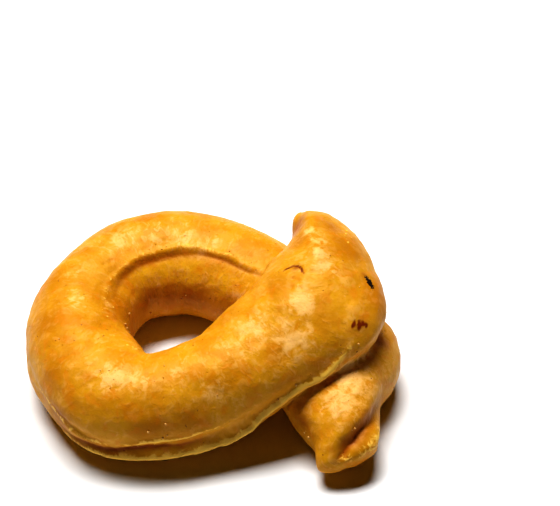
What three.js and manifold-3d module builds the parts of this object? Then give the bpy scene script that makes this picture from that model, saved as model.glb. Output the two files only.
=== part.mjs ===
// A tarallo: one rope of dough bent into a ring, its two ends crossed and pressed together,
// then boiled and baked until the crust is smooth and hard. It lies flat, with one end over the other.
//
// Millimetres, +Z up. The bread stands on the plane Z = 0. X runs along its length, from the far
// side of the ring to the crossed ends, and the origin is below the middle of its outline.

import * as THREE from "three";
import { mergeVertices } from "three/addons/utils/BufferGeometryUtils.js";
import Module from "manifold-3d";

// The rope, from the end that lies below, round the ring, to the end that lies on top.
// x, y, z: the middle line, measured from the middle of the ring.
// outer, inner: half widths, away from and towards the hole. top, base: heights above and below the line.
// peak: how far the rounded top is drawn up into a crest, from 0 to 1.
const STATIONS = [
  { x: 20.5, y: -18.5, z: 2.4, outer: 3.1, inner: 3.0, top: 1.4, base: 1.3, peak: 0 }, // lower end's tip
  { x: 20.8, y: -15.4, z: 3.3, outer: 3.4, inner: 4.0, top: 3.6, base: 3.1, peak: 0 },
  { x: 21.0, y: -9.6, z: 4.3, outer: 3.9, inner: 8.0, top: 5.0, base: 4.5, peak: 0 },
  { x: 22.0, y: -3.5, z: 4.5, outer: 5.4, inner: 6.4, top: 3.9, base: 4.8, peak: 0 }, // the crossing, below
  { x: 18.7, y: 2.6, z: 4.2, outer: 3.0, inner: 5.6, top: 3.9, base: 4.5, peak: 0 },
  { x: 13.4, y: 6.4, z: 5.0, outer: 4.7, inner: 6.8, top: 5.4, base: 5.3, peak: 0 },
  { x: 7.2, y: 9.9, z: 5.2, outer: 5.6, inner: 6.9, top: 5.8, base: 5.5, peak: 0 },
  { x: 0.4, y: 11.7, z: 5.2, outer: 6.0, inner: 7.2, top: 6.0, base: 5.5, peak: 0 }, // the back of the ring
  { x: -6.4, y: 9.6, z: 5.3, outer: 5.5, inner: 6.9, top: 6.0, base: 5.6, peak: 0 },
  { x: -10.3, y: 4.0, z: 5.3, outer: 5.4, inner: 6.8, top: 5.9, base: 5.6, peak: 0 },
  { x: -10.7, y: -3.4, z: 5.3, outer: 5.8, inner: 6.4, top: 5.9, base: 5.6, peak: 0 },
  { x: -6.2, y: -9.85, z: 5.3, outer: 6.4, inner: 6.2, top: 5.9, base: 5.6, peak: 0 },
  { x: -0.8, y: -11.6, z: 5.3, outer: 5.6, inner: 5.3, top: 5.9, base: 5.6, peak: 0 }, // the front of the ring
  { x: 6.0, y: -9.7, z: 6.0, outer: 6.0, inner: 6.0, top: 6.0, base: 5.3, peak: 0 },
  { x: 12.0, y: -6.2, z: 8.4, outer: 6.6, inner: 7.0, top: 5.8, base: 4.6, peak: 0 },
  { x: 16.25, y: -2.05, z: 11.2, outer: 9.3, inner: 6.5, top: 5.6, base: 3.6, peak: 0.1 }, // the crossing, above
  { x: 17.4, y: 2.4, z: 12.6, outer: 6.7, inner: 5.6, top: 4.8, base: 4.4, peak: 0.25 },
  { x: 16.8, y: 6.6, z: 13.6, outer: 5.0, inner: 2.6, top: 3.2, base: 4.6, peak: 0.4 },
  { x: 16.0, y: 10.3, z: 14.4, outer: 2.0, inner: 1.4, top: 1.4, base: 2.4, peak: 0.5 }, // upper end's tip
];
const SPLIT = 10; // the station where the rope is cut in two, so that each length crosses the other once

const RINGS_PER_STATION = 5;
const SIDES = 56;
const BASE_SQUARENESS = 2.6; // the exponent of the section's lower half: 2 is round
const LOWER_CAP = 1.4; // how far back from its tip each end starts to close
const UPPER_CAP = 1.6;
const LOWER_CUT = 0.55; // how obliquely the lower end is cut, as a slope across its width
const LOWER_CUT_REACH = 7.0; // the length of rope that the oblique cut draws along

// Ridges (rise above 0) and grooves (rise below 0) in the crust. Each runs along a path of
// [station, angle] pairs, where the angle in degrees goes from the outer side, 0, over the top, 90,
// to the hole's side, 180. It fades out across its reach and towards both of its ends.
const RELIEF = {
  foldAroundHole: {
    path: [[5.3, 128], [6.4, 126], [7.4, 130], [8.4, 136], [9.8, 138]],
    reach: 0.8,
    rise: -0.35,
  },
  wallBelowFold: {
    path: [[5.5, 150], [6.8, 148], [8.2, 155]],
    reach: 1.4,
    rise: 0.25,
  },
  footEdge: {
    path: [[9.8, -6], [10.8, -12], [11.6, -26], [12.4, -22], [13.2, -15], [13.9, -2], [14.5, 5], [15.1, 14]],
    reach: 0.7,
    rise: 0.35,
  },
  footGroove: {
    path: [[10.0, 7], [11.0, 1], [11.6, -9], [12.2, -4], [13.2, 1], [13.9, 11]],
    reach: 0.7,
    rise: -0.35,
  },
  footUndercut: {
    path: [[11.6, -46], [12.4, -42], [13.2, -35], [13.9, -21], [14.5, -13], [15.1, -4]],
    reach: 0.8,
    rise: -0.35,
  },
  foldOfLowerEnd: {
    path: [[1.9, 8], [1.3, 32], [0.9, 58], [0.7, 78], [0.55, 95], [0.45, 108]],
    reach: 1.0,
    rise: -0.75,
  },
  lipOfLowerEnd: {
    path: [[1.8, -12], [1.1, 10], [0.5, 32], [0.25, 60], [0.2, 90], [0.2, 115]],
    reach: 0.6,
    rise: 0.25,
  },
  crestOfUpperEnd: {
    path: [[17.6, 95], [16.5, 98], [15.9, 90], [15.5, 84]],
    reach: 1.3,
    rise: 0.35,
  },
  hollowOfUpperEnd: {
    path: [[15.9, 40], [15.2, 56], [14.6, 62]],
    reach: 2.0,
    rise: -0.25,
  },
};
const PATH_STEPS = 60; // points along each path
const NEAR_STATIONS = 2; // relief reaches this far along the rope, so not onto the strand that crosses

// Slow waves in the rope's thickness, from rolling it by hand.
const WAVES = [
  { along: 1.9, around: 1, phase: 0.4, rise: 0.1 },
  { along: 3.1, around: 2, phase: 2.2, rise: 0.08 },
  { along: 4.3, around: 3, phase: 4.1, rise: 0.06 },
];

const CRUST = { color: 0xd9952f, roughness: 0.45, metalness: 0 };
const MERGE_DISTANCE = 1e-4;

const UP = new THREE.Vector3(0, 0, 1);
const LAST = STATIONS.length - 1;
const radians = THREE.MathUtils.degToRad;

function smoothCurve(points) {
  return new THREE.CatmullRomCurve3(points, false, "catmullrom");
}

// A smooth curve through three of the stations' values.
function through(keys) {
  return smoothCurve(STATIONS.map((station) => new THREE.Vector3(...keys.map((key) => station[key]))));
}

const middleLine = through(["x", "y", "z"]);
const widths = through(["outer", "inner", "peak"]);
const heights = through(["top", "base", "peak"]);

// The rope's length up to each of many points, used to close its ends.
const STEPS_PER_STATION = 20;
const LENGTH_STEPS = LAST * STEPS_PER_STATION;
const lengths = [0];
middleLine.getPoints(LENGTH_STEPS).reduce((before, point) => {
  lengths.push(lengths[lengths.length - 1] + point.distanceTo(before));
  return point;
});

function lengthTo(station) {
  const step = station * STEPS_PER_STATION;
  const low = Math.min(Math.floor(step), LENGTH_STEPS - 1);
  return THREE.MathUtils.lerp(lengths[low], lengths[low + 1], step - low);
}

// 1 along the rope, falling to 0 at a tip as a quarter circle does.
function closing(distance, reach) {
  const back = Math.max(0, 1 - distance / reach);
  return Math.sqrt(Math.max(0, 1 - back * back));
}

const squared = (value) => Math.sign(value) * Math.abs(value) ** (2 / BASE_SQUARENESS);

// A point of the plain rope's skin and the way out of the rope there.
function skin(station, angle) {
  const u = station / LAST;
  const middle = middleLine.getPoint(u);
  const along = middleLine.getTangent(u);
  const outward = new THREE.Vector3().crossVectors(along, UP).normalize();
  const upward = new THREE.Vector3().crossVectors(outward, along);
  const { x: outer, y: inner, z: peak } = widths.getPoint(u);
  const { x: top, y: base } = heights.getPoint(u);

  const length = lengthTo(station);
  const shrink = closing(length, LOWER_CAP) * closing(lengthTo(LAST) - length, UPPER_CAP);
  const cut = LOWER_CUT * Math.max(0, 1 - length / LOWER_CUT_REACH);
  const c = Math.cos(angle);
  const s = Math.sin(angle);
  const crest = THREE.MathUtils.lerp(s, 1 - Math.abs(c), peak);
  const across = (s < 0 ? squared(c) : c) * (c > 0 ? outer : inner) * shrink;
  const rise = (s < 0 ? squared(s) * base : crest * top) * shrink;
  const out = new THREE.Vector3().addScaledVector(outward, across).addScaledVector(upward, rise);
  const point = middle.add(out).addScaledVector(along, cut * across);
  return { point, out: out.normalize() };
}

// 0 at both ends of a path and 1 halfway.
const fade = (step) => Math.sqrt(Math.sin((Math.PI * (step + 1)) / (PATH_STEPS + 2)));

// The paths of the relief as points on the skin.
const paths = Object.values(RELIEF).map(({ path, reach, rise }) => {
  const route = smoothCurve(path.map(([station, degrees]) => new THREE.Vector3(station, radians(degrees), 0)));
  const points = route.getPoints(PATH_STEPS).map(({ x: station, y: angle }, step) => ({
    at: skin(station, angle).point,
    station,
    strength: rise * fade(step),
  }));
  return { points, reach };
});

function relief(station, point) {
  let sum = 0;
  for (const { points, reach } of paths) {
    let best = 0;
    for (const { at, station: near, strength } of points) {
      if (Math.abs(near - station) > NEAR_STATIONS) continue;
      const height = strength * Math.exp(-at.distanceToSquared(point) / reach ** 2);
      if (Math.abs(height) > Math.abs(best)) best = height;
    }
    sum += best;
  }
  return sum;
}

function waves(station, angle) {
  return WAVES.reduce(
    (sum, { along, around, phase, rise }) => sum + rise * Math.sin(along * station + around * angle + phase),
    0,
  );
}

// One ring of points round the rope, on or above the plane that it lies on.
function ring(station) {
  const points = [];
  for (let side = 0; side < SIDES; side++) {
    const angle = (2 * Math.PI * side) / SIDES;
    const { point, out } = skin(station, angle);
    point.addScaledVector(out, relief(station, point) + waves(station, angle));
    point.z = Math.max(0, point.z);
    points.push(point);
  }
  return points;
}

// A closed length of the rope between two stations.
function strand(from, to) {
  const positions = [];
  const index = [];
  const rings = (to - from) * RINGS_PER_STATION;
  for (let i = 0; i <= rings; i++) {
    for (const point of ring(from + i / RINGS_PER_STATION)) positions.push(...point);
  }
  for (let i = 0; i < rings; i++) {
    for (let side = 0; side < SIDES; side++) {
      const next = (side + 1) % SIDES;
      const a = i * SIDES + side;
      const b = i * SIDES + next;
      const c = b + SIDES;
      const d = a + SIDES;
      index.push(a, c, b, a, d, c);
    }
  }
  // A fan round the middle line closes each end.
  for (const [station, first] of [[from, 0], [to, rings * SIDES]]) {
    const hub = positions.length / 3;
    positions.push(...middleLine.getPoint(station / LAST));
    for (let side = 0; side < SIDES; side++) {
      const a = first + side;
      const b = first + ((side + 1) % SIDES);
      index.push(...(first ? [hub, b, a] : [hub, a, b]));
    }
  }
  const geometry = new THREE.BufferGeometry();
  geometry.setAttribute("position", new THREE.Float32BufferAttribute(positions, 3));
  geometry.setIndex(index);
  return mergeVertices(geometry, MERGE_DISTANCE);
}

const wasm = await Module();
wasm.setup();

function solid(geometry) {
  return new wasm.Manifold(
    new wasm.Mesh({
      numProp: 3,
      vertProperties: geometry.getAttribute("position").array,
      triVerts: new Uint32Array(geometry.index.array),
    }),
  );
}

// The ring with its lower end, and the length that climbs over it, fused where they press together.
function bread() {
  const fused = solid(strand(0, SPLIT)).add(solid(strand(SPLIT, LAST))).getMesh();
  const geometry = new THREE.BufferGeometry();
  geometry.setAttribute("position", new THREE.BufferAttribute(fused.vertProperties, 3));
  geometry.setIndex(new THREE.BufferAttribute(fused.triVerts, 1));
  geometry.computeBoundingBox();
  const middle = geometry.boundingBox.getCenter(new THREE.Vector3());
  geometry.translate(-middle.x, -middle.y, 0);
  geometry.computeVertexNormals();
  return geometry;
}

const tarallo = new THREE.Mesh(bread(), new THREE.MeshStandardMaterial(CRUST));
tarallo.name = "tarallo";

const group = new THREE.Group();
group.add(tarallo);

export default group;
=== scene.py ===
"""A tarallo: the crust of a small hard-baked ring of rope dough with its ends crossed, and the
crumbs on it. A pale floor, soft light from above and the photograph's camera."""

import math
import random

import bmesh
import bpy
import numpy as np
from mathutils import Matrix, Vector, noise
from mathutils.kdtree import KDTree


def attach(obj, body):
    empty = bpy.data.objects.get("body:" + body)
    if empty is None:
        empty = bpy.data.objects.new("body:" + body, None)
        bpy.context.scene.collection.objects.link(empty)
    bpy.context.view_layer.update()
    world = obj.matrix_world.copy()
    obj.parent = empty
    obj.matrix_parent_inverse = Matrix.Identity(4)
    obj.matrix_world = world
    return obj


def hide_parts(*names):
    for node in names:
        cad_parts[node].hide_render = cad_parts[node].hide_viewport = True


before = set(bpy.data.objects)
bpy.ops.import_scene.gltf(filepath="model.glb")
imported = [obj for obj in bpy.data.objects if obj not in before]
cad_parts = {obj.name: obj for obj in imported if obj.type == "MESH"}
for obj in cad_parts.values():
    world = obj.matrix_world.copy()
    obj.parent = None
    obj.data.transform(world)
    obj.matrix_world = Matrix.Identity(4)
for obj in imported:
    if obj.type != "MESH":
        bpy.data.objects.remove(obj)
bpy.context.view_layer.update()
MM = 0.001

# ---------------------------------------------------------------- the rope, as in the solid
# Millimetres, measured from the middle of the ring: X right, Y away from the viewer, Z up.
# The rope runs from the end that lies below, round the ring, to the end that lies on top.
# x, y, z of the middle line; half widths away from and towards the hole; heights above and
# below the line; how far the top is drawn up into a crest, from 0 to 1.
STATIONS = np.array(
    [
        (20.5, -18.5, 2.4, 3.1, 3.0, 1.4, 1.3, 0),  # lower end's tip
        (20.8, -15.4, 3.3, 3.4, 4.0, 3.6, 3.1, 0),
        (21.0, -9.6, 4.3, 3.9, 8.0, 5.0, 4.5, 0),
        (22.0, -3.5, 4.5, 5.4, 6.4, 3.9, 4.8, 0),  # the crossing, below
        (18.7, 2.6, 4.2, 3.0, 5.6, 3.9, 4.5, 0),
        (13.4, 6.4, 5.0, 4.7, 6.8, 5.4, 5.3, 0),
        (7.2, 9.9, 5.2, 5.6, 6.9, 5.8, 5.5, 0),
        (0.4, 11.7, 5.2, 6.0, 7.2, 6.0, 5.5, 0),  # the back of the ring
        (-6.4, 9.6, 5.3, 5.5, 6.9, 6.0, 5.6, 0),
        (-10.3, 4.0, 5.3, 5.4, 6.8, 5.9, 5.6, 0),
        (-10.7, -3.4, 5.3, 5.8, 6.4, 5.9, 5.6, 0),
        (-6.2, -9.85, 5.3, 6.4, 6.2, 5.9, 5.6, 0),
        (-0.8, -11.6, 5.3, 5.6, 5.3, 5.9, 5.6, 0),  # the front of the ring
        (6.0, -9.7, 6.0, 6.0, 6.0, 6.0, 5.3, 0),
        (12.0, -6.2, 8.4, 6.6, 7.0, 5.8, 4.6, 0),
        (16.25, -2.05, 11.2, 9.3, 6.5, 5.6, 3.6, 0.1),  # the crossing, above
        (17.4, 2.4, 12.6, 6.7, 5.6, 4.8, 4.4, 0.25),
        (16.8, 6.6, 13.6, 5.0, 2.6, 3.2, 4.6, 0.4),
        (16.0, 10.3, 14.4, 2.0, 1.4, 1.4, 2.4, 0.5),  # upper end's tip
    ]
)
LAST = len(STATIONS) - 1
SPLIT = 10  # the rope is cut in two here, so that each length crosses the other once
BASE_SQUARENESS = 2.6  # of the section's lower half: 2 is an ellipse, and more is squarer
LOWER_CAP, UPPER_CAP = 1.4, 1.6  # mm, over which each tip is rounded off
LOWER_CUT, LOWER_CUT_REACH = 0.55, 7.0  # the slant of the lower end's cut, and its reach in mm

# Places on the crust are (station, angle): the angle is 0 on the outer side, 90 on top and 180
# on the hole's side. A ridge (rise above 0) or groove (below 0) is a path of such places, how
# far it reaches to each side, and its rise, in mm.
RELIEF = {
    "fold_around_hole": ([(5.3, 128), (6.4, 126), (7.4, 130), (8.4, 136), (9.8, 138)], 0.8, -0.12),
    "wall_below_fold": ([(5.5, 150), (6.8, 148), (8.2, 155)], 1.4, 0.05),
    "foot_edge": (
        [(9.8, -6), (10.8, -12), (11.6, -26), (12.4, -22), (13.2, -15), (13.9, -2), (14.5, 5), (15.1, 14)],
        0.7,
        0.35,
    ),
    "foot_groove": ([(10.0, 7), (11.0, 1), (11.6, -9), (12.2, -4), (13.2, 1), (13.9, 11)], 0.7, -0.35),
    "foot_undercut": (
        [(11.6, -46), (12.4, -42), (13.2, -35), (13.9, -21), (14.5, -13), (15.1, -4)],
        0.8,
        -0.35,
    ),
    "fold_of_lower_end": ([(1.9, 8), (1.3, 32), (0.9, 58), (0.7, 78), (0.55, 95), (0.45, 108)], 1.0, -0.75),
    "lip_of_lower_end": ([(1.8, -12), (1.1, 10), (0.5, 32), (0.25, 60), (0.2, 90), (0.2, 115)], 0.6, 0.25),
    "crest_of_upper_end": ([(17.6, 95), (16.5, 98), (15.9, 90), (15.5, 84)], 1.3, 0.35),
    "hollow_of_upper_end": ([(15.9, 40), (15.2, 56), (14.6, 62)], 2.0, -0.25),
}
# The same for what is finer than the solid's relief.
FINE_RELIEF = {
    "rim_of_hole": (
        [(5.2, 113), (5.6, 115), (6.0, 114), (6.7, 116), (7.5, 121), (8.4, 124), (9.1, 122), (9.6, 127)],
        0.4,
        0.14,
    ),
    "crease_of_hole": ([(5.1, 118), (5.5, 121), (5.9, 120), (6.3, 121), (6.6, 123)], 0.28, -0.14),
    "band_of_hole": (
        [(6.1, 122), (6.6, 124), (7.1, 126), (7.5, 129), (8.0, 131), (8.6, 131), (9.3, 134)],
        0.46,
        -0.11,
    ),
    "crease_of_lower_end": ([(1.15, 32), (0.83, 60), (0.55, 78), (0.33, 98), (0.2, 116)], 0.4, -0.3),
    "foot_lip": (
        [(10.9, -16), (11.3, -22), (11.7, -23), (12.1, -22), (12.6, -19), (13.1, -12), (13.3, -5), (13.6, 0)]
        + [(13.95, 4), (14.25, 5), (14.5, 12), (14.75, 21)],
        0.38,
        0.4,
    ),
    "below_foot_lip": (
        [(11.7, -39), (12.1, -37), (12.6, -35), (13.1, -30), (13.3, -22), (13.6, -16)]
        + [(13.95, -12), (14.3, -11), (14.6, 0)],
        0.5,
        -0.4,
    ),
    "foot_roll": ([(10.2, -2), (10.6, 6), (10.9, 0), (11.2, -5), (11.6, -8)], 0.35, 0.22),
    "wavy_lip": ([(11.5, -6), (11.75, -1), (12.0, 1), (12.3, 0), (12.6, 5), (12.8, 5)], 0.3, 0.2),
    "crack_of_foot": (
        [(10.7, -8), (11.1, -13), (11.5, -15), (11.9, -10), (12.3, -10), (12.8, -5)],
        0.4,
        -0.3,
    ),
    "crack_on_head": (
        [(15.22, 118), (15.33, 116), (15.43, 110), (15.4, 102), (15.3, 96), (15.25, 92)],
        0.22,
        -0.14,
    ),
}
# These have smooth edges, and all others ragged ones.
UNSHAKEN = ("fold_around_hole", "rim_of_hole", "crease_of_hole", "band_of_hole")
PATH_STEPS = 60
PATH_MARGIN = 3  # a path's reaches, beyond which it isn't felt
NEAR_STATIONS = 2  # relief only reaches this far along the rope, so not onto the other strand

# Slow waves in the rope's thickness: turns per station, round the section, phase, rise in mm.
WAVES = [(1.9, 1, 0.4, 0.1), (3.1, 2, 2.2, 0.08), (4.3, 3, 4.1, 0.06)]


def catmull(values, stations):
    """Catmull-Rom curve through rows of values, at these stations."""
    ends = [2 * values[0] - values[1], *values, 2 * values[-1] - values[-2]]
    rows = np.array(ends)
    low = np.clip(np.floor(stations).astype(int), 0, len(values) - 2)
    t = (stations - low)[:, None]
    a, b, c, d = rows[low], rows[low + 1], rows[low + 2], rows[low + 3]
    start, end = (c - a) / 2, (d - b) / 2
    return b + start * t + (3 * (c - b) - 2 * start - end) * t**2 + (2 * (b - c) + start + end) * t**3


def unit(vectors):
    return vectors / np.maximum(np.linalg.norm(vectors, axis=-1, keepdims=True), 1e-9)


LINE_STEPS = 40  # from one station to the next
LINE_STATIONS = np.linspace(0, LAST, LAST * LINE_STEPS + 1)
LINE = catmull(STATIONS[:, :3], LINE_STATIONS)
LINE_ALONG = unit(np.gradient(LINE, axis=0))
LINE_LENGTHS = np.append(0, np.cumsum(np.linalg.norm(np.diff(LINE, axis=0), axis=1)))


def length_to(station):
    """How far along the rope these stations are, in mm."""
    return np.interp(station, LINE_STATIONS, LINE_LENGTHS)


def closing(distance, reach):
    """1 along the rope, falling to 0 at a tip as a quarter circle does."""
    return np.sqrt(np.clip(1 - np.clip(1 - distance / reach, 0, None) ** 2, 0, 1))


def section(station):
    """The rope's half sizes, and its directions along, outward and upward, at these stations."""
    values = catmull(STATIONS, station)
    along = unit(np.stack([np.interp(station, LINE_STATIONS, LINE_ALONG[:, k]) for k in range(3)], 1))
    outward = unit(np.cross(along, (0, 0, 1)))
    upward = np.cross(outward, along)
    return values, along, outward, upward


def skin(station, angle):
    """Points of the plain rope's skin. Angle in radians."""
    values, along, outward, upward = section(station)
    outer, inner, top, base, peak = values[:, 3:].T
    length = length_to(station)
    shrink = closing(length, LOWER_CAP) * closing(LINE_LENGTHS[-1] - length, UPPER_CAP)
    cut = LOWER_CUT * np.clip(1 - length / LOWER_CUT_REACH, 0, None)

    c, s = np.cos(angle), np.sin(angle)
    power = np.where(s < 0, 2 / BASE_SQUARENESS, 1)
    crest = (1 - peak) * s + peak * (1 - np.abs(c))
    across = np.sign(c) * np.abs(c) ** power * np.where(c > 0, outer, inner) * shrink
    rise = np.where(s < 0, -(np.abs(s) ** power) * base, crest * top) * shrink
    squarely = values[:, :3] + across[:, None] * outward + rise[:, None] * upward
    return squarely + (cut * across)[:, None] * along


PLACE_ROUNDS, PLACE_STEP = 3, 0.7  # rounds of the search, and how much of each step is taken


def places(points, station):
    """The station and angle of points of the crust, from a first guess at the station."""
    for _ in range(PLACE_ROUNDS):
        values, along, _, _ = section(station)
        step = ((points - values[:, :3]) * along).sum(1)
        spacing = np.interp(station, LINE_STATIONS, np.gradient(LINE_LENGTHS, LINE_STATIONS))
        station = np.clip(station + PLACE_STEP * step / spacing, 0, LAST)
    values, _, outward, upward = section(station)
    outer, inner, top, base = values[:, 3:7].T
    x = ((points - values[:, :3]) * outward).sum(1)
    y = ((points - values[:, :3]) * upward).sum(1)
    x, y = x / np.where(x > 0, outer, inner), y / np.where(y > 0, top, base)
    root = np.where(y > 0, 1, BASE_SQUARENESS / 2)
    angle = np.arctan2(np.sign(y) * np.abs(y) ** root, np.sign(x) * np.abs(x) ** root)
    return station, np.mod(angle + np.pi / 2, 2 * np.pi) - np.pi / 2


def near_path(points, station, path, reach):
    """How near points of the crust are to a path on it: 1 on the path, 0 beyond its reach."""
    knots = np.array(path, float)
    route = catmull(knots, np.linspace(0, len(knots) - 1, PATH_STEPS + 1))
    line = skin(route[:, 0], np.radians(route[:, 1]))
    fade = np.sin(np.pi * (np.arange(PATH_STEPS + 1) + 1) / (PATH_STEPS + 2)) ** 0.5

    margin = PATH_MARGIN * reach
    inside = (points > line.min(0) - margin) & (points < line.max(0) + margin)
    before, after = route[:, 0].min() - NEAR_STATIONS, route[:, 0].max() + NEAR_STATIONS
    chosen = np.flatnonzero(inside.all(1) & (station > before) & (station < after))
    near = points[chosen]
    best = np.zeros(len(points))
    for start, end, here, there in zip(line, line[1:], fade, fade[1:]):
        step = end - start
        t = np.clip((near - start) @ step / max(step @ step, 1e-9), 0, 1)
        apart = ((near - start - t[:, None] * step) ** 2).sum(1)
        strength = (here + t * (there - here)) * np.exp(-apart / reach**2)
        best[chosen] = np.maximum(best[chosen], strength)
    return best


def near_places(points, spots):
    """How near points of the crust are to any of some (station, angle, radius in mm, strength)."""
    rows = np.array(spots, float)
    centres = skin(rows[:, 0], np.radians(rows[:, 1]))
    best = np.zeros(len(points))
    for centre, (_, _, radius, strength) in zip(centres, rows):
        apart = ((points - centre) ** 2).sum(1)
        best = np.maximum(best, strength * np.exp(-apart / radius**2))
    return best


# ---------------------------------------------------------------- meshes


def link(made):
    bpy.context.scene.collection.objects.link(made)
    return made


def mesh_object(name, points, faces):
    mesh = bpy.data.meshes.new(name)
    mesh.from_pydata([tuple(p) for p in points], [], [tuple(f) for f in faces])
    mesh.update()
    return link(bpy.data.objects.new(name, mesh))


def vertex_vectors(mesh, what):
    flat = np.empty(len(mesh.vertices) * 3)
    mesh.vertices.foreach_get(what, flat)
    return flat.reshape(-1, 3)


def move_vertices(mesh, points):
    mesh.vertices.foreach_set("co", points.ravel())
    mesh.update()


def edge_list(mesh):
    flat = np.empty(len(mesh.edges) * 2, int)
    mesh.edges.foreach_get("vertices", flat)
    return flat.reshape(-1, 2)


def smoothed(points, edges, weight, rounds):
    """Points moved towards the mean of their neighbours, as far as each point's weight says."""
    count = len(points)
    degree = np.bincount(edges.ravel(), minlength=count)[:, None]
    for _ in range(rounds):
        total = np.empty_like(points)
        for k in range(3):
            total[:, k] = np.bincount(edges[:, 0], points[edges[:, 1], k], count)
            total[:, k] += np.bincount(edges[:, 1], points[edges[:, 0], k], count)
        points = points + weight[:, None] * (total / degree - points)
    return points


SEED_STEP = (17.3, 5.1, 9.7)  # how far apart two seeds lie in the noise


def waviness(points, size, seed):
    """Smooth noise from about -1 to 1, with waves of this size in mm."""
    shift = Vector([seed * step for step in SEED_STEP])
    return np.array([noise.noise(Vector(p) / size + shift) for p in points])


def shaken(points, size, amount, seed):
    """Points moved about by smooth noise, which makes what is drawn round them ragged."""
    return points + amount * np.stack([waviness(points, size, seed + k) for k in range(3)], 1)


STRAND_STEP = 0.3  # mm between the rings of points of a strand
STRAND_SIDES = 128


def strand(name, first, last):
    """A closed plain length of the rope between two stations, in mm, and its points' stations."""
    rings = round((length_to(last) - length_to(first)) / STRAND_STEP)
    station = np.repeat(np.linspace(first, last, rings + 1), STRAND_SIDES)
    angle = np.tile(np.linspace(0, 2 * np.pi, STRAND_SIDES, endpoint=False), rings + 1)
    points = skin(station, angle)
    points[:, 2] = np.maximum(points[:, 2], 0)

    faces = []
    for ring in range(rings):
        for side in range(STRAND_SIDES):
            a = ring * STRAND_SIDES + side
            b = ring * STRAND_SIDES + (side + 1) % STRAND_SIDES
            faces.append((a, a + STRAND_SIDES, b + STRAND_SIDES, b))
    faces.append(tuple(range(STRAND_SIDES)))
    faces.append(tuple(reversed(range(rings * STRAND_SIDES, (rings + 1) * STRAND_SIDES))))
    return mesh_object(name, points, faces), points, station


VOXEL = 0.234  # mm, the size of the finished crust's faces


def fuse(first, second):
    """One skin round both strands, remeshed evenly."""
    union = first.modifiers.new("union", "BOOLEAN")
    union.operation = "UNION"
    union.solver = "MANIFOLD"
    union.object = second
    remesh = first.modifiers.new("remesh", "REMESH")
    remesh.mode = "VOXEL"
    remesh.voxel_size = VOXEL
    graph = bpy.context.evaluated_depsgraph_get()
    made = bpy.data.meshes.new_from_object(first.evaluated_get(graph))
    first.modifiers.clear()
    first.data = made
    bpy.data.objects.remove(second)


def tree_of(points):
    tree = KDTree(len(points))
    for index, point in enumerate(points):
        tree.insert(point, index)
    tree.balance()
    return tree


def nearest(tree, points):
    """For each point, the index of the tree's nearest point and how far off it is."""
    found = [tree.find(p) for p in points]
    return np.array([f[1] for f in found]), np.array([f[2] for f in found])


# ---------------------------------------------------------------- materials


def linear(red, green, blue):
    """A colour from 0 to 255 as Blender's linear colour: the sRGB curve, straight up to 10."""
    colour = (red, green, blue)
    return (*(((c / 255 + 0.055) / 1.055) ** 2.4 if c > 10 else c / 3295 for c in colour), 1)


class Nodes:
    """A short way to write a material's nodes."""

    def __init__(self, name):
        self.material = bpy.data.materials.new(name)
        self.material.use_nodes = True
        self.tree = self.material.node_tree
        self.shader = self.tree.nodes["Principled BSDF"]

    def add(self, kind, inputs=(), **settings):
        node = self.tree.nodes.new(kind)
        for key, value in settings.items():
            setattr(node, key, value)
        for key, value in dict(inputs).items():
            self.join(value, node.inputs[key])
        return node

    def join(self, value, socket):
        if isinstance(value, bpy.types.NodeSocket):
            self.tree.links.new(value, socket)
        else:
            socket.default_value = value

    def where(self):
        """The place on the object, in mm."""
        inputs = {0: self.add("ShaderNodeTexCoord").outputs["Object"], 1: (1 / MM,) * 3}
        return self.add("ShaderNodeVectorMath", inputs, operation="MULTIPLY").outputs[0]

    def noise(self, where, size, detail=2.0, roughness=0.5, distortion=0.0):
        """Noise from 0 to 1 with features of this size."""
        inputs = {
            "Vector": where,
            "Scale": 1 / size,
            "Detail": detail,
            "Roughness": roughness,
            "Distortion": distortion,
        }
        return self.add("ShaderNodeTexNoise", inputs).outputs["Fac"]

    def attribute(self, name, output="Fac"):
        return self.add("ShaderNodeAttribute", attribute_name=name).outputs[output]

    def ramp(self, value, low, high, start=0.0, end=1.0):
        """value mapped smoothly from low..high to start..end."""
        inputs = {0: value, 1: low, 2: high, 3: start, 4: end}
        return self.add("ShaderNodeMapRange", inputs, interpolation_type="SMOOTHSTEP").outputs[0]

    def times(self, a, b):
        return self.add("ShaderNodeMath", {0: a, 1: b}, operation="MULTIPLY").outputs[0]

    def plus(self, a, b):
        return self.add("ShaderNodeMath", {0: a, 1: b}, operation="ADD").outputs[0]

    def mix(self, amount, a, b):
        node = self.add("ShaderNodeMix", data_type="RGBA", clamp_factor=True)
        for index, value in ((0, amount), (6, a), (7, b)):
            self.join(value, node.inputs[index])
        return node.outputs[2]


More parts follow.
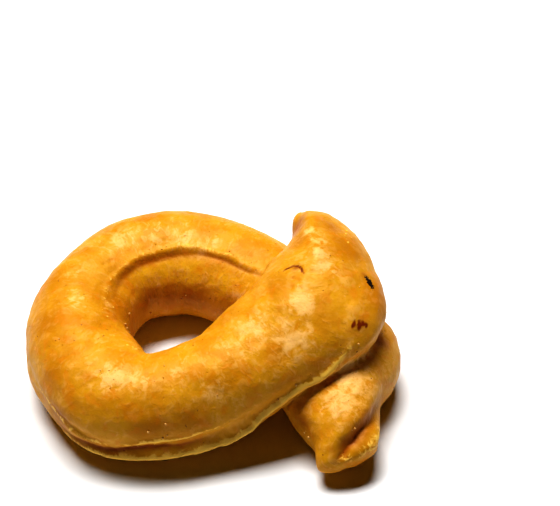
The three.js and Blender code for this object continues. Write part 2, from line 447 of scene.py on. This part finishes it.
def crust_material():
    """Golden crust. The mesh's attributes say where it is pale, partly as painted highlights; deep,
    partly as painted shade; painted lighter in the shade of the hole; browned and painted with
    shade in creases; cracked or charred, and noises of several sizes break this up. The numbers in
    the ramps are levels of the two."""
    n = Nodes("crust")
    golden = linear(214, 154, 30)
    # painted light: a lighter golden for the shaded wall of the hole
    painted_light_golden = linear(246, 192, 40)
    # pale and cream are partly painted highlights
    pale = linear(226, 162, 60)
    cream_and_highlight = linear(242, 190, 114)
    # deep is partly painted shade
    deep_and_shade = linear(190, 121, 8)
    orange = linear(216, 128, 14)
    # browned is partly painted shade in folds, creases and shaded sides
    browned_and_shade = linear(148, 74, 5)
    dough = linear(250, 202, 92)
    crack = linear(124, 48, 6)
    char = linear(24, 8, 6)

    place = n.where()
    rope = n.attribute("rope", "Vector")
    pulled = n.add("ShaderNodeMapping", {"Vector": rope, "Scale": (1.25, 0.75, 1.0)}).outputs[0]
    wrinkles = n.noise(pulled, 1.1, 2.0, 0.5, 1.1)
    patches = n.noise(place, 3.6, 2.0, 0.5)
    dabs = n.noise(place, 1.8, 2.0, 0.55, 0.6)
    mottle = n.noise(place, 0.9, 3.0, 0.6, 0.8)
    grain = n.noise(place, 0.24, 2.0, 0.5)

    # Golden, with deeper places, partly painted shade, places painted lighter in the shade of the hole, and
    # more orange places.
    deepness_and_shade = n.attribute("deep_and_shade")
    colour = n.mix(n.ramp(patches, 0.36, 0.7, 0.0, 0.55), golden, deep_and_shade)
    colour = n.mix(deepness_and_shade, colour, deep_and_shade)
    colour = n.mix(n.attribute("light"), colour, painted_light_golden)
    colour = n.mix(n.ramp(dabs, 0.5, 0.68, 0.0, 0.45), colour, orange)

    # Pale mottling and cream streaks, partly painted highlights: some anywhere but on deep places, and most
    # on pale ones.
    paleness_and_highlight = n.attribute("pale")
    anywhere = n.ramp(patches, 0.6, 0.36, 0.1, 0.42)
    anywhere = n.times(anywhere, n.ramp(deepness_and_shade, 0.1, 0.8, 1.0, 0.2))
    mottled = n.plus(paleness_and_highlight, anywhere)
    colour = n.mix(n.times(n.ramp(mottle, 0.38, 0.62), mottled), colour, pale)
    streaks = n.times(n.ramp(wrinkles, 0.5, 0.64), n.ramp(mottle, 0.3, 0.55))
    colour = n.mix(n.times(streaks, n.ramp(mottled, 0.15, 0.9, 0.15, 0.75)), colour, cream_and_highlight)
    core = n.plus(paleness_and_highlight, n.ramp(dabs, 0.35, 0.65, 0.3, -0.3))
    core = n.plus(core, n.ramp(mottle, 0.3, 0.7, -0.12, 0.12))
    colour = n.mix(n.ramp(core, 0.3, 1.1), colour, cream_and_highlight)

    # Fine grain, browned folds with painted shade in their creases, and pale torn edges.
    colour = n.mix(n.times(n.ramp(grain, 0.58, 0.72), 0.35), colour, deep_and_shade)
    colour = n.mix(n.attribute("browned_and_shade"), colour, browned_and_shade)
    ragged = n.plus(n.attribute("edge"), n.ramp(mottle, 0.3, 0.7, -0.25, 0.25))
    colour = n.mix(n.ramp(ragged, 0.25, 0.6), colour, dough)

    # Pinholes in groups, cracks and char.
    pinholes = n.ramp(n.noise(place, 0.34, 1.0, 0.4), 0.70, 0.78)
    pits = n.times(pinholes, n.ramp(n.noise(place, 2.4, 1.0), 0.52, 0.62))
    cracks = n.plus(n.attribute("crack"), n.times(pits, 0.6))
    colour = n.mix(n.ramp(cracks, 0.25, 0.75), colour, crack)
    burnt = n.plus(n.attribute("char"), n.ramp(grain, 0.3, 0.7, -0.2, 0.2))
    colour = n.mix(n.ramp(burnt, 0.4, 0.6), colour, char)
    n.join(colour, n.shader.inputs["Base Color"])

    n.join(n.ramp(mottle, 0.3, 0.7, 0.36, 0.54), n.shader.inputs["Roughness"])
    n.shader.inputs["Subsurface Weight"].default_value = 0.05
    n.shader.inputs["Subsurface Radius"].default_value = (1.0, 0.6, 0.12)
    n.shader.inputs["Subsurface Scale"].default_value = 0.8 * MM
    n.shader.inputs["Specular IOR Level"].default_value = 0.22
    n.shader.inputs["Specular Tint"].default_value = (1.0, 0.75, 0.4, 1)

    height = n.plus(n.times(wrinkles, 0.65), n.times(mottle, 0.7))
    height = n.plus(height, n.times(grain, 0.16))
    height = n.plus(height, n.times(pits, -0.8))
    bump = n.add("ShaderNodeBump", {"Strength": 0.6, "Distance": 0.14 * MM, "Height": height})
    n.join(bump.outputs["Normal"], n.shader.inputs["Normal"])
    return n.material


def crumb_material():
    n = Nodes("crumb")
    baked = linear(190, 134, 54)
    floury = linear(232, 190, 112)
    grain = n.noise(n.where(), 0.08, 3.0)
    n.join(n.mix(n.ramp(grain, 0.4, 0.6), baked, floury), n.shader.inputs["Base Color"])
    n.shader.inputs["Roughness"].default_value = 0.75
    return n.material


def floor_material():
    n = Nodes("pale_floor")
    n.shader.inputs["Base Color"].default_value = (0.88, 0.88, 0.88, 1)
    n.shader.inputs["Roughness"].default_value = 0.9
    return n.material


# ---------------------------------------------------------------- the bread

# Unevenness of the crust: size of the waves and their height, in mm.
LUMPS = [(7.0, 0.16), (3.6, 0.13), (1.6, 0.07), (0.85, 0.045)]
SMOOTHING = 0.5  # how far a point moves towards its neighbours in a round
SMOOTHING_ROUNDS = 4
FILLET_REACH = 1.3  # mm, where the strands are pressed into one another
FILLET_ROUNDS = 90
# How ragged edges are and, finer, how flecks are: waves and movement in mm, and a seed.
RAGGED = {"size": 1.1, "amount": 0.22, "seed": 40}
FLECKED = {"size": 0.6, "amount": 0.2, "seed": 50}
TYPICAL_RADIUS = 5.9  # mm, of the rope
FOOT_HEIGHT = 3.5  # mm, painted shade: the crust is a deeper colour below this height
FOOT_PAINTED_SHADE = 0.7

# Spots on the crust: (station, angle, radius in mm, strength).
# Where the two strands are fused without a crease, on the upper strand's hole side.
FUSED = [(14.8, 170, 2.8, 1.0), (15.2, 155, 2.8, 1.0), (15.6, 145, 2.2, 0.9)]
# Where the crust is paler, partly as painted highlights; deeper, partly as painted shade; painted lighter in
# the shade of the hole; or browned, partly as painted shade in folds and on shaded sides.
PALE_AND_HIGHLIGHT = [
    (8.0, 96, 2.4, 0.55),
    (7.4, 100, 2.4, 0.5),
    (6.8, 104, 2.0, 0.5),
    (6.3, 110, 1.6, 0.6),
    (9.7, 94, 1.8, 0.45),
    (9.1, 84, 1.4, 0.4),
    (9.7, 130, 1.0, 0.4),
    (11.3, 74, 1.9, 0.8),
    (11.8, 74, 1.7, 0.7),
    (12.4, 77, 1.4, 0.5),
    (13.9, 86, 2.4, 0.6),
    (13.5, 78, 1.8, 0.55),
    (14.3, 58, 2.4, 0.85),
    (14.8, 80, 1.8, 0.85),
    (16.6, 97, 0.8, 1.0),
    (16.2, 91, 1.0, 1.0),
    (15.8, 87, 1.0, 1.0),
    (15.5, 80, 1.0, 1.0),
    (1.85, 92, 2.8, 1.0),
    (1.5, 100, 2.4, 1.0),
    (12.9, 52, 1.8, 0.5),
    (6.2, 146, 1.5, 0.25),
    (6.9, 148, 1.6, 0.25),
    (7.6, 150, 1.5, 0.25),
    (1.3, 44, 0.7, 0.8),
    (5.4, 150, 0.8, 0.8),
]
# Deeper places: partly real darker patches, partly painted shade on sides turned from the light.
DEEP_AND_SHADE = [
    (7.4, 64, 1.6, 0.9),
    (8.6, 78, 1.1, 0.7),
    (9.7, 76, 1.2, 0.6),
    (10.6, 46, 1.5, 0.6),
    (10.3, 112, 1.6, 0.6),
    (9.2, 56, 2.2, 0.8),
    (10.0, 60, 2.4, 1.0),
    (10.6, 40, 2.2, 0.9),
    (10.8, 2, 1.6, 1.0),
    (9.4, 142, 1.6, 1.0),
    (15.4, 30, 2.4, 1.0),
    (16.1, 54, 2.2, 1.0),
    (12.0, 22, 1.6, 0.9),
    (12.4, 26, 1.6, 0.8),
    (17.2, 138, 1.8, 1.0),
    (16.4, 116, 1.5, 0.9),
    (16.7, 68, 1.4, 0.8),
    (13.9, 50, 1.4, 0.8),
    (14.8, 110, 1.2, 0.6),
    (2.4, 56, 1.4, 0.8),
    (2.85, 54, 1.2, 0.8),
]
# Painted light: lighter golden on the hole's wall, which lies in shade.
PAINTED_LIGHT_GOLDEN = [
    (5.8, 146, 1.4, 0.6),
    (6.5, 146, 1.6, 0.7),
    (7.2, 148, 1.6, 0.7),
    (7.9, 146, 1.4, 0.6),
]
# Browned places, partly painted shade: under the upper strand, on shaded sides and low in the hole.
BROWNED_AND_SHADE = [
    (2.8, 58, 1.0, 0.6),
    (2.4, 84, 1.2, 0.6),
    (1.6, 145, 1.6, 0.5),
    (1.4, 160, 1.2, 0.75),
    (15.36, 106, 0.45, 0.8),
    (14.96, 32, 0.8, 0.5),
    (15.62, 43, 0.5, 0.5),
    (17.3, 138, 1.3, 0.35),
    (16.9, 124, 1.0, 0.3),
    (16.9, 66, 1.1, 0.3),
    (16.3, 66, 0.9, 0.2),
    (10.9, 8, 1.5, 0.35),
    (7.2, 172, 1.3, 0.45),
    (6.4, 172, 1.3, 0.45),
    (7.9, 172, 1.2, 0.4),
]
# One black streak and four small brown ones on the upper strand, as paths, and their reach in mm.
CHAR = [(15.63, 41), (15.53, 38), (15.44, 33)]
CHAR_REACH = 0.48
BURNT = [
    [(14.98, 40), (14.92, 37), (14.89, 35)],
    [(15.01, 36), (14.95, 33), (14.91, 30)],
    [(15.02, 32), (14.97, 31)],
    [(15.02, 29), (14.98, 26)],
]
BURNT_REACH = 0.3
# Grains of pale dough that stand out of the crust by GRAIN_RISE mm.
GRAINS = [
    (9.25, 122, 0.16, 1.0),
    (9.34, 126, 0.14, 1.0),
    (9.47, 125, 0.2, 1.0),
    (9.56, 129, 0.16, 1.0),
    (9.75, 130, 0.18, 1.0),
    (9.68, 124, 0.14, 1.0),
    (10.1, 129, 0.18, 0.9),
    (10.22, 132, 0.14, 0.9),
    (8.95, 121, 0.14, 0.9),
    (9.1, 125, 0.13, 0.9),
    (9.62, 136, 0.15, 0.9),
    (9.3, 131, 0.13, 0.9),
    (9.85, 124, 0.15, 0.8),
    (10.5, 124, 0.15, 0.8),
    (10.65, 123, 0.18, 0.9),
    (10.82, 124, 0.15, 0.9),
    (10.98, 125, 0.2, 0.9),
    (11.12, 127, 0.15, 0.9),
    (11.25, 130, 0.17, 0.9),
    (11.4, 134, 0.15, 0.8),
    (16.6, 52, 0.2, 0.8),
    (16.45, 47, 0.18, 0.8),
    (16.75, 46, 0.18, 0.8),
    (16.3, 55, 0.16, 0.7),
    (16.1, 48, 0.16, 0.8),
]
GRAIN_RISE = 0.1
# Pits: (station, angle, radius in mm, depth in mm).
PITS = [
    (8.7, 107, 0.35, 0.16),
    (8.55, 110, 0.3, 0.14),
    (11.1, 72, 0.3, 0.12),
    (15.1, 100, 0.3, 0.2),
    (15.08, 94, 0.3, 0.16),
    (14.98, 87, 0.25, 0.12),
    (14.93, 94, 0.3, 0.14),
    (15.33, 88, 0.28, 0.2),
]
PIT_DARKNESS = 0.4
GRAIN_PALENESS = 0.8
# How strongly the relief is browned and painted with shade in its creases, pale as torn dough, or dark as a
# crack.
BROWNED_AND_SHADED_RELIEF = {
    "band_of_hole": 0.8,
    "crease_of_hole": 0.8,
    "crease_of_lower_end": 1.0,
    "fold_of_lower_end": 0.85,
    "crack_of_foot": 0.8,
}
DOUGH_RELIEF = {
    "foot_lip": 1.4,
    "foot_roll": 0.55,
    "wavy_lip": 0.8,
    "rim_of_hole": 0.3,
    "lip_of_lower_end": 0.5,
}
CRACKED_RELIEF = {"crack_on_head": 1.0, "crack_of_foot": 0.6}


def set_attribute(mesh, name, values):
    """What the crust's material reads under this name, from 0 to 1 at each point."""
    layer = mesh.attributes.new(name, "FLOAT", "POINT")
    layer.data.foreach_set("value", np.clip(values, 0, 1))


def set_rope_attribute(mesh, station, angle):
    """How far along the rope and how far round it each point lies, in mm."""
    layer = mesh.attributes.new("rope", "FLOAT_VECTOR", "POINT")
    rows = np.stack([length_to(station), angle * TYPICAL_RADIUS, np.zeros(len(station))], 1)
    layer.data.foreach_set("vector", rows.ravel())


def crust():
    """The bread's skin, with its relief and the attributes that its material reads."""
    lower, lower_points, lower_station = strand("crust", 0, SPLIT)
    upper, upper_points, upper_station = strand("upper_strand", SPLIT, LAST)
    whole = np.vstack([lower_points, upper_points])
    middle = (whole.min(0) + whole.max(0)) / 2
    shift = np.array([-middle[0], -middle[1], 0])

    fuse(lower, upper)
    mesh = lower.data
    points = vertex_vectors(mesh, "co")
    edges = edge_list(mesh)
    on_lower, from_lower = nearest(tree_of(lower_points), points)
    on_upper, from_upper = nearest(tree_of(upper_points), points)
    seam = np.exp(-((np.maximum(from_lower, from_upper) / FILLET_REACH) ** 4))
    points = smoothed(points, edges, np.full(len(points), SMOOTHING), SMOOTHING_ROUNDS)
    points = smoothed(points, edges, SMOOTHING * seam * near_places(points, FUSED), FILLET_ROUNDS)
    below = from_lower < from_upper
    station = np.where(below, lower_station[on_lower], upper_station[on_upper])
    station, angle = places(points, station)

    move_vertices(mesh, points)
    out = vertex_vectors(mesh, "normal")
    ragged = shaken(points, **RAGGED)
    flecked = shaken(points, **FLECKED)
    relief = {**RELIEF, **FINE_RELIEF}
    near = {}
    for name, (path, reach, _) in relief.items():
        near[name] = near_path(points if name in UNSHAKEN else ragged, station, path, reach)
    grains = near_places(flecked, GRAINS)
    height = sum(rise * near[name] for name, (_, _, rise) in relief.items()) + GRAIN_RISE * grains
    height += sum(rise * np.sin(a * station + b * angle + phase) for a, b, phase, rise in WAVES)
    height += sum(rise * waviness(points, size, seed) for seed, (size, rise) in enumerate(LUMPS))
    for *spot, depth in PITS:
        height -= depth * near_places(points, [(*spot, 1)])
    points = points + height[:, None] * out
    points[:, 2] = np.maximum(points[:, 2], 0)

    # Painted shade: the crust gets deeper in colour towards the floor.
    foot = np.clip((FOOT_HEIGHT - points[:, 2]) / FOOT_HEIGHT, 0, 1)
    set_rope_attribute(mesh, station, angle)
    # Pale crust, partly painted highlights.
    set_attribute(mesh, "pale", near_places(ragged, PALE_AND_HIGHLIGHT))
    # Deeper colour, partly painted shade on shaded sides.
    set_attribute(mesh, "deep_and_shade", np.maximum(near_places(ragged, DEEP_AND_SHADE), FOOT_PAINTED_SHADE * foot))
    # Painted light in the shade of the hole.
    set_attribute(mesh, "light", near_places(ragged, PAINTED_LIGHT_GOLDEN))
    # Browning and painted shade in creases, folds and shaded sides.
    bands = [strength * near[name] for name, strength in BROWNED_AND_SHADED_RELIEF.items()]
    set_attribute(mesh, "browned_and_shade", np.max([*bands, near_places(ragged, BROWNED_AND_SHADE)], axis=0))
    edges_of_dough = [strength * near[name] for name, strength in DOUGH_RELIEF.items()]
    set_attribute(mesh, "edge", np.max([*edges_of_dough, GRAIN_PALENESS * grains], axis=0))
    cracks = [strength * near[name] for name, strength in CRACKED_RELIEF.items()]
    cracks += [near_path(flecked, station, path, BURNT_REACH) for path in BURNT]
    cracks += [PIT_DARKNESS * near_places(points, [(*spot, 1) for *spot, _ in PITS])]
    set_attribute(mesh, "crack", np.max(cracks, axis=0))
    set_attribute(mesh, "char", near_path(points, station, CHAR, CHAR_REACH))
    move_vertices(mesh, (points + shift) * MM)
    mesh.polygons.foreach_set("use_smooth", [True] * len(mesh.polygons))
    mesh.materials.clear()
    mesh.materials.append(crust_material())
    return lower, shift


# Crumbs that the photograph shows: (station, angle, width in mm).
CRUMBS = [
    (6.5, 170, 0.2),
    (8.2, 190, 0.28),
    (5.8, 182, 0.16),
    (9.4, 160, 0.3),
    (9.9, 158, 0.26),
    (10.1, 162, 0.2),
    (11.95, 16, 0.24),
    (12.1, 6, 0.26),
    (12.15, 9, 0.2),
    (12.15, 24, 0.22),
    (13.6, 4, 0.24),
    (1.2, 172, 0.24),
    (1.3, 175, 0.18),
    (14.8, 18, 0.24),
    (0.9, 75, 0.22),
    (13.9, 10, 0.3),
]
# As many more are scattered, between these stations, angles and widths.
SCATTERED_CRUMBS = 46
SCATTER = [(0.5, 17.5), (-20, 200), (0.07, 0.15)]
CRUMB_SEED = 7
CRUMB_HALVES = (0.4, 0.62)  # from its middle to its sides, for a width of 1
CRUMB_ROUGHNESS = 0.35  # for a width of 1, and also the size of its lumps


def crumbs(bread, shift):
    """Small rough crumbs lying on the crust, as one mesh."""
    draw = random.Random(CRUMB_SEED)
    rows = list(CRUMBS)
    for _ in range(SCATTERED_CRUMBS):
        rows.append([draw.uniform(low, high) for low, high in SCATTER])
    shape = bmesh.new()
    for station, angle, width in rows:
        guess = (skin(np.array([station]), np.radians([angle]))[0] + shift) * MM
        _, place, normal, _ = bread.closest_point_on_mesh(Vector(guess))
        spin = Matrix.Rotation(draw.uniform(0, math.tau), 4, "Z")
        turn = spin @ Matrix.Rotation(draw.uniform(0, 1), 4, "X")
        sizes = [width * MM * draw.uniform(*CRUMB_HALVES) for _ in range(3)]
        centre = Matrix.Translation(place + normal * sizes[2] * 0.5)
        matrix = centre @ turn @ Matrix.Diagonal((*sizes, 1))
        made = bmesh.ops.create_icosphere(shape, subdivisions=2, radius=1, matrix=matrix)
        middle = Vector(centre.translation)
        for vertex in made["verts"]:
            lump = noise.noise(vertex.co / (CRUMB_ROUGHNESS * width * MM))
            vertex.co = middle + (vertex.co - middle) * (1 + CRUMB_ROUGHNESS * lump)
    mesh = bpy.data.meshes.new("crumbs")
    shape.to_mesh(mesh)
    shape.free()
    mesh.materials.append(crumb_material())
    mesh.polygons.foreach_set("use_smooth", [True] * len(mesh.polygons))
    return link(bpy.data.objects.new("crumbs", mesh))


bread, SHIFT = crust()
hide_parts("tarallo")
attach(bread, "root")

specks = crumbs(bread, SHIFT)
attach(specks, "root")

# ---------------------------------------------------------------- stage, light and camera

FLOOR_HALF = 1.5  # m


def floor():
    corners = [(-FLOOR_HALF, -FLOOR_HALF, 0), (FLOOR_HALF, -FLOOR_HALF, 0)]
    corners += [(FLOOR_HALF, FLOOR_HALF, 0), (-FLOOR_HALF, FLOOR_HALF, 0)]
    made = mesh_object("floor", corners, [(0, 1, 2, 3)])
    made.data.materials.append(floor_material())


# One soft box above, a little behind and to the left, across the view. Metres and watts.
LIGHT_FROM = Vector((-0.13, 0.36, 1.0)).normalized()
LIGHT_DISTANCE = 1.2
LIGHT_WIDTH = 0.76
LIGHT_DEPTH = 0.36
LIGHT_POWER = 18.4


def light():
    lamp = bpy.data.lights.new("softbox", "AREA")
    lamp.shape = "RECTANGLE"
    lamp.size = LIGHT_WIDTH
    lamp.size_y = LIGHT_DEPTH
    lamp.energy = LIGHT_POWER
    made = link(bpy.data.objects.new("softbox", lamp))
    made.location = LIGHT_FROM * LIGHT_DISTANCE
    made.rotation_euler = LIGHT_FROM.to_track_quat("Z", "Y").to_euler()


def sky():
    """White beyond the edge of the floor, and no light from there."""
    world = bpy.data.worlds.new("sky")
    world.use_nodes = True
    nodes = world.node_tree.nodes
    nodes["Background"].inputs["Color"].default_value = (1, 1, 1, 1)
    seen = nodes.new("ShaderNodeLightPath").outputs["Is Camera Ray"]
    world.node_tree.links.new(seen, nodes["Background"].inputs["Strength"])
    bpy.context.scene.world = world


CAMERA_PLACE = (13.13, -111.30, 125.10)  # mm, from the middle of the ring
CAMERA_PITCH = 46.0  # degrees from looking straight down
CAMERA_LENS = 88.39  # mm
SENSOR_WIDTH = 36.0  # mm
NEAREST_SEEN = 0.01  # m


def camera():
    data = bpy.data.cameras.new("camera")
    data.lens = CAMERA_LENS
    data.sensor_width = SENSOR_WIDTH
    data.sensor_fit = "HORIZONTAL"
    data.clip_start = NEAREST_SEEN
    made = link(bpy.data.objects.new("camera", data))
    made.location = (np.array(CAMERA_PLACE) + SHIFT) * MM
    made.rotation_euler = (math.radians(CAMERA_PITCH), 0, 0)
    bpy.context.scene.camera = made


floor()
light()
sky()
camera()
bpy.context.scene.view_settings.view_transform = "Standard"
bpy.context.scene.view_settings.look = "High Contrast"
